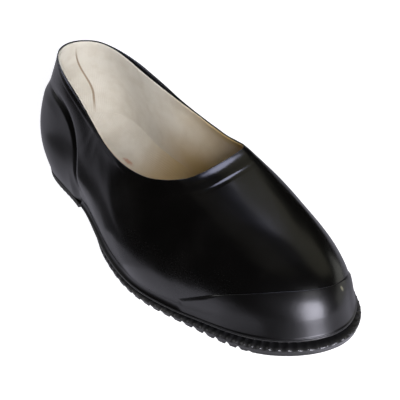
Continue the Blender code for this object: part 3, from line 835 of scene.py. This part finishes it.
# Share of the foxing's height down to which the cap reaches behind it.
UNDER_FOXING = 0.3
NICK_PLACE = (0.1294, 0.0215, 0.0381)
NICK_HALF = (0.0020, 0.0014, 0.0025)
NICK_PALE = (0.23, 0.22, 0.16, 1.0)


def overlay(at, bottom, top, thickness, rows, crowd=1.7):
    """Closed profile of a sheet laid on the wall: its outer face from the bottom edge to the top,
    crowded towards the top, and its back, a little sunk in the wall, with fewer rows. The face stands
    out by thickness(at, heights) less what is pressed in, so that a feathered edge runs out in the
    wall."""
    rise = 1 - (1 - np.linspace(0, 1, rows)) ** crowd
    heights = bottom + (top - bottom) * rise
    behind = heights[:, ::-BACK_EVERY]
    face = skin(at, heights, thickness(at, heights) - PRESSED_IN)
    back = skin(at, behind, np.full(behind.shape, -SUNK))
    return np.concatenate([face, back], axis=1), np.concatenate([heights, behind], axis=1)


def quarter_round(distance, width):
    """Edge of a sheet: a quarter of an ellipse, 0 at the edge and 1 at `width` in from it."""
    return np.sqrt(np.clip(1 - (1 - np.clip(distance / width, 0, 1)) ** 2, 0, 1))


def cap_form(at, heights):
    """1 on the cap's edge: the share of its reach to a power, and the share of its height."""
    return np.abs((at[:, None] - CAP_CENTRE) / CAP_REACH) ** CAP_ROUND_POWER + heights / CAP_HEIGHT


def cap_thickness(at, heights):
    """Full inside, with a quarter round for an edge in the middle that turns into a broader smooth step
    towards the two ends, thinned out at the ends, and none outside."""
    from_middle = np.abs(at - CAP_CENTRE)[:, None]
    inside = inside_distance(cap_form, at, heights)
    softer = smooth((from_middle / CAP_REACH - CAP_SOFT_START) / CAP_SOFT_RUN)
    width = CAP_EDGE + CAP_EDGE_SPREAD * softer
    edge = quarter_round(inside, width) * (1 - softer) + smooth(inside / width) * softer
    return CAP_THICKNESS * np.minimum(edge, smooth((CAP_END * CAP_REACH - from_middle) / CAP_END_EDGE))


def foxing_height(x):
    """Top edge of the foxing up the wall: level along the sides, and a smooth step up to the toe."""
    return FOXING_SIDE + FOXING_TOE_RISE * ramp(x, *FOXING_CLIMB)


def cap_nick(colour, place):
    """A pale nick by the inner end of the cap's edge."""
    return (0.6 * place.spot(NICK_PLACE, NICK_HALF)).blend(colour, NICK_PALE)


at = CAP_CENTRE + CAP_END * CAP_REACH * np.sin(np.linspace(-np.pi / 2, np.pi / 2, CAP_COLUMNS))
top = CAP_HEIGHT * (1 - np.abs((at - CAP_CENTRE) / CAP_REACH)[:, None] ** CAP_ROUND_POWER)
bottom = UNDER_FOXING * foxing_height(plan_curves(at)[1][:, :1])
points, heights = overlay(at, bottom, top, cap_thickness, CAP_ROWS)
cap = grid_object("toe_cap_layer", points, at[:, None], heights)
cap_skin = rubber("cap_rubber", roughness=0.29, grain=0.00005, marks=cap_nick)
put_on(cap, cap_skin, "gloss_rubber", "toe_cap")


# Heel counter: a stiff layer moulded over the back of the heel down to the sole. Its steep front edge
# lies in a soft groove that fades towards the collar and the sole.
COUNTER_THICKNESS = 0.0018
COUNTER_BOTTOM = 0.0008
COUNTER_EDGE_FRONT = 0.0042
COUNTER_EDGE_TOP = 0.0160
COUNTER_TRIM = 0.9995
COUNTER_COLUMNS = 280
COUNTER_ROWS = 64


def counter_thickness(at, heights):
    """At the front 1 - (1 - s)^2 of the short way in from the edge, steepest on it, and along the top
    and by the sole a long smooth step."""
    inside = inside_distance(counter_form, at, heights)
    steep = 1 - (1 - np.clip(inside / COUNTER_EDGE_FRONT, 0, 1)) ** 2
    thinned = smooth(inside / COUNTER_EDGE_TOP)
    return COUNTER_THICKNESS * (thinned + counter_front(at, heights) * (steep - thinned))


at = COUNTER_TRIM * COUNTER_REACH * np.sin(np.linspace(-np.pi / 2, np.pi / 2, COUNTER_COLUMNS))
side = np.abs(at / COUNTER_REACH)[:, None] ** COUNTER_SIDE_POWER
top = COUNTER_HEIGHT * (1 - side) ** (1 / COUNTER_TOP_POWER)
bottom = np.full(top.shape, COUNTER_BOTTOM)
points, heights = overlay(at, bottom, top, counter_thickness, COUNTER_ROWS, crowd=1.3)
counter = grid_object("counter_layer", points, at[:, None], heights)
counter_skin = rubber("counter_rubber", roughness=0.30, grain=0.00005)
put_on(counter, counter_skin, "gloss_rubber", "heel_counter")


# Collar band: a strip of rubber bound round the mouth under the rim, broad over the throat and narrow
# along the sides and the heel. It is rolled to a soft crown with a small bead along its lower edge.
BAND_WIDTH_THROAT = 0.0160
BAND_WIDTH_BACK = 0.0065
BAND_WIDENS = (-0.12, 0.06)
BAND_DROP = 0.0001
BAND_CROWN = 0.0010
BAND_BEAD = 0.0005
CROWN_LEAST = 0.12
BAND_ROWS = 41
# Middle and half width of the crown and of the bead: round the shoe, and in shares across the band.
CROWN_ROUND, CROWN_ACROSS = (0.335, 0.090), (0.64, 0.36)
BEAD_ROUND, BEAD_ACROSS = (0.328, 0.055), (0.16, 0.16)

rim_x = plan_curves(around)[2][:, :1]
band_width = BAND_WIDTH_BACK + (BAND_WIDTH_THROAT - BAND_WIDTH_BACK) * ramp(rim_x, *BAND_WIDENS)


def mound(place, middle, half):
    """Soft hump (1 - s^2)^2 over the distance from its middle in half widths, 0 beyond them."""
    return np.clip(1 - ((place - middle) / half) ** 2, 0, 1) ** 2


def band_thickness(at, heights):
    """A broad crown near the rim, pressed flat along the sides and the heel, and over the throat a
    narrow bead along the lower edge."""
    share = (heights - rim_height + band_width) / band_width
    over_throat = mound(at, *CROWN_ROUND)[:, None]
    crown = BAND_CROWN * (CROWN_LEAST + (1 - CROWN_LEAST) * over_throat)
    bead = BAND_BEAD * mound(at, *BEAD_ROUND)[:, None]
    return crown * mound(share, *CROWN_ACROSS) + bead * mound(share, *BEAD_ACROSS)


bottom, top = rim_height - band_width, rim_height - BAND_DROP
points, heights = overlay(around, bottom, top, band_thickness, BAND_ROWS, crowd=1.0)
band = grid_object("collar_binding", points, around_closed, heights, closed_round=True)
put_on(band, rubber("band_rubber", roughness=0.24, grain=0.00004), "gloss_rubber", "collar_band")


# Foxing: a strip of rubber rolled on round the foot of the upper, from one side of the heel round the
# toe to the other. It covers the joint with the sole and flares in a hollow to a rounded edge over the
# lip.
FOXING_START = 0.0880
FOXING_COLUMNS = 480
FOXING_ROWS = 22
FLARE_POWER = 2.2
FLARE_FOOT = 0.14
# Shares of the strip's height at which its top edge runs out into the wall.
RUN_OUT = np.array([1.20, 1.15, 1.10, 1.05])
# The rolled edge over the lip: how far in from the lip, and how far over the seat.
ROLL = [(0.0000, 0.0012), (-0.0002, 0.0008), (0.0000, 0.0004), (0.0006, 0.0001), (0.0030, 0.0001)]

at = np.linspace(FOXING_START, ROUND - FOXING_START, FOXING_COLUMNS)
foot = plan_curves(at)[1]
height = foxing_height(foot[:, 0])[:, None]
reach = edge_out(foot[:, 0], "lip")[:, None]
rise = height * np.linspace(1, FLARE_FOOT, FOXING_ROWS)
under = cap_thickness(at, rise)
flare = under - PRESSED_IN / 2 + (reach - under) * (1 - rise / height) ** FLARE_POWER
top = height * np.concatenate([[UNDER_FOXING], RUN_OUT])
sunk = np.concatenate([[SUNK], SUNK * ((RUN_OUT - 1) / (RUN_OUT[0] - 1)) ** 2]) + PRESSED_IN / 2
inner = skin(at, top, cap_thickness(at, top) - sunk)
rolled = []
for back, up in ROLL:
    level = foot + (reach - back) * outward(at)[0]
    rolled.append(np.column_stack([level, seat_height(level[:, 0]) + up]))
points = np.concatenate([inner, skin(at, rise, flare), np.stack(rolled, axis=1)], axis=1)
spread = np.broadcast_to(np.arange(points.shape[1]) * STEP, points.shape[:2])
foxing = grid_object("foxing_strip", points, at[:, None], spread)
put_on(foxing, rubber("foxing_rubber", roughness=0.30, grain=0.00005), "gloss_rubber", "foxing")


# Studio: a plain white floor that glows evenly as a lit sweep does, a soft key and a weak ceiling panel
# for the cloth, and for the gloss of the rubber two windows by the toe, dim panels above and round the
# back, and a sheen as of the lit floor. The camera looks from the outer front.
AIM = np.array([0.0041, 0.0117, 0.0350])
CAMERA_DISTANCE = 0.903
CAMERA_AZIMUTH, CAMERA_ELEVATION = 51.8, 36.9
FOCAL_LENGTH = 124.0
FLOOR_REACH = 5.0
FLOOR_DROP = 0.0002
FLOOR_WHITE = (0.50, 0.50, 0.50, 1.0)
FLOOR_GLOW, FLOOR_GLOW_TINT = 0.95, (0.97, 0.97, 1.0, 1.0)
ROOM_DARK = (0.009, 0.008, 0.0055, 1.0)
# Soft panels: degrees round the shoe and over the floor, distance, width and height, watts and colour.
Panel = namedtuple("Panel", "azimuth elevation distance size power colour")
CLOTH_PANELS = {
    "ceiling_panel": Panel(10.0, 84.0, 1.7, (1.80, 1.80), 3.5, (1.0, 1.0, 1.0)),
    "lining_key": Panel(67.0, 27.0, 1.0, (0.60, 0.60), 13.0, (1.0, 0.99, 0.97)),
}
GLOSS_PANELS = {
    "toe_window": Panel(76.0, 16.0, 1.0, (0.46, 0.78), 18.2, (0.88, 0.87, 1.0)),
    "upper_window": Panel(88.0, 52.0, 1.2, (0.50, 0.30), 0.9, (0.97, 0.97, 1.0)),
    "throat_panel": Panel(-130.0, 43.0, 1.5, (0.60, 0.78), 8.0, (0.70, 0.73, 1.0)),
    "top_panel": Panel(-90.0, 86.0, 1.5, (0.55, 0.55), 0.10, (1.0, 0.95, 0.74)),
    "back_panel": Panel(-166.0, 45.0, 1.6, (1.30, 0.90), 1.3, (1.0, 0.97, 0.74)),
    "inner_side_panel": Panel(158.0, 8.0, 1.5, (1.50, 0.60), 2.3, (1.0, 1.0, 0.94)),
    "heel_panel": Panel(-95.0, 34.0, 1.5, (0.60, 0.50), 1.4, (1.0, 1.0, 1.0)),
    "outer_side_strip": Panel(-62.0, 22.0, 1.4, (0.40, 0.80), 1.6, (1.0, 1.0, 1.0)),
}
# Patches of the floor that the rubber mirrors: from and to along x and y, and watts for a square metre.
FLOOR_SHEEN = [
    (-0.80, 0.14, -0.06, 0.37, 1.36),
    (0.14, 0.50, -0.06, 0.37, 3.20),
    (-0.80, -0.19, -0.27, -0.06, 1.90),
    (-0.19, -0.06, -0.27, -0.06, 0.25),
    (-0.06, -0.01, -0.20, -0.06, 1.90),
    (-0.01, 0.08, -0.20, -0.06, 3.30),
    (0.08, 0.13, -0.11, -0.06, 2.20),
    (0.08, 0.50, -0.27, -0.11, 0.70),
]
# The patches lie just over the floor, this far under the aim.
SHEEN_UNDER_AIM = 0.0351
SHEEN_TINT = (0.88, 0.87, 1.0)


def direction(azimuth, elevation):
    """Unit vector from the shoe: azimuth 0 is the outer side, 90 the toe, elevation above the floor."""
    a, e = np.radians(azimuth), np.radians(elevation)
    return np.array([np.sin(a) * np.cos(e), -np.cos(a) * np.cos(e), np.sin(e)])


def aimed(name, data, azimuth, elevation, distance):
    """A lamp or camera at a direction and distance from the aim, looking at it."""
    thing = bpy.data.objects.new(name, data)
    bpy.context.scene.collection.objects.link(thing)
    thing.location = AIM + distance * direction(azimuth, elevation)
    thing.rotation_euler = Vector(-direction(azimuth, elevation)).to_track_quat("-Z", "Y").to_euler()
    return thing


def panel_lamp(name, panel):
    """A soft rectangular lamp aimed at the shoe."""
    lamp = bpy.data.lights.new(name, "AREA")
    lamp.shape = "RECTANGLE"
    lamp.size, lamp.size_y = panel.size
    lamp.energy = panel.power
    lamp.color = panel.colour
    return aimed(name, lamp, panel.azimuth, panel.elevation, panel.distance)


corners = np.array([[-1, -1], [1, -1], [1, 1], [-1, 1]]) * FLOOR_REACH
corners = np.column_stack([corners, np.full(4, -FLOOR_DROP)])
floor_mesh = bpy.data.meshes.new("floor")
floor_mesh.from_pydata(corners.tolist(), [], [(0, 1, 2, 3)])
floor = bpy.data.objects.new("floor", floor_mesh)
bpy.context.scene.collection.objects.link(floor)
floor_material, floor_shader, _, _ = start_material("floor_white")
set_shader(floor_shader, {
    "Base Color": FLOOR_WHITE,
    "Roughness": 0.9,
    "Specular IOR Level": 0.0,
    "Emission Color": FLOOR_GLOW_TINT,
    "Emission Strength": FLOOR_GLOW,
})
floor_mesh.materials.append(floor_material)

# The rubber mirrors the sheen patches instead of the whole floor.
floor.visible_glossy = False
for name, panel in CLOTH_PANELS.items():
    panel_lamp(name, panel).visible_glossy = False
for name, panel in GLOSS_PANELS.items():
    panel_lamp(name, panel).visible_diffuse = False
for first_x, last_x, first_y, last_y, strength in FLOOR_SHEEN:
    size = (last_x - first_x, last_y - first_y)
    power = strength * size[0] * size[1]
    sheen = panel_lamp("floor_sheen", Panel(0.0, -90.0, SHEEN_UNDER_AIM, size, power, SHEEN_TINT))
    sheen.location.x, sheen.location.y = (first_x + last_x) / 2, (first_y + last_y) / 2
    sheen.visible_diffuse = False

world = bpy.data.worlds.new("studio")
bpy.context.scene.world = world
world.use_nodes = True
world.node_tree.nodes["Background"].inputs["Color"].default_value = ROOM_DARK
bpy.context.scene.view_settings.view_transform = "Standard"

lens = bpy.data.cameras.new("camera")
lens.lens = FOCAL_LENGTH
camera = aimed("camera", lens, CAMERA_AZIMUTH, CAMERA_ELEVATION, CAMERA_DISTANCE)
bpy.context.scene.camera = camera
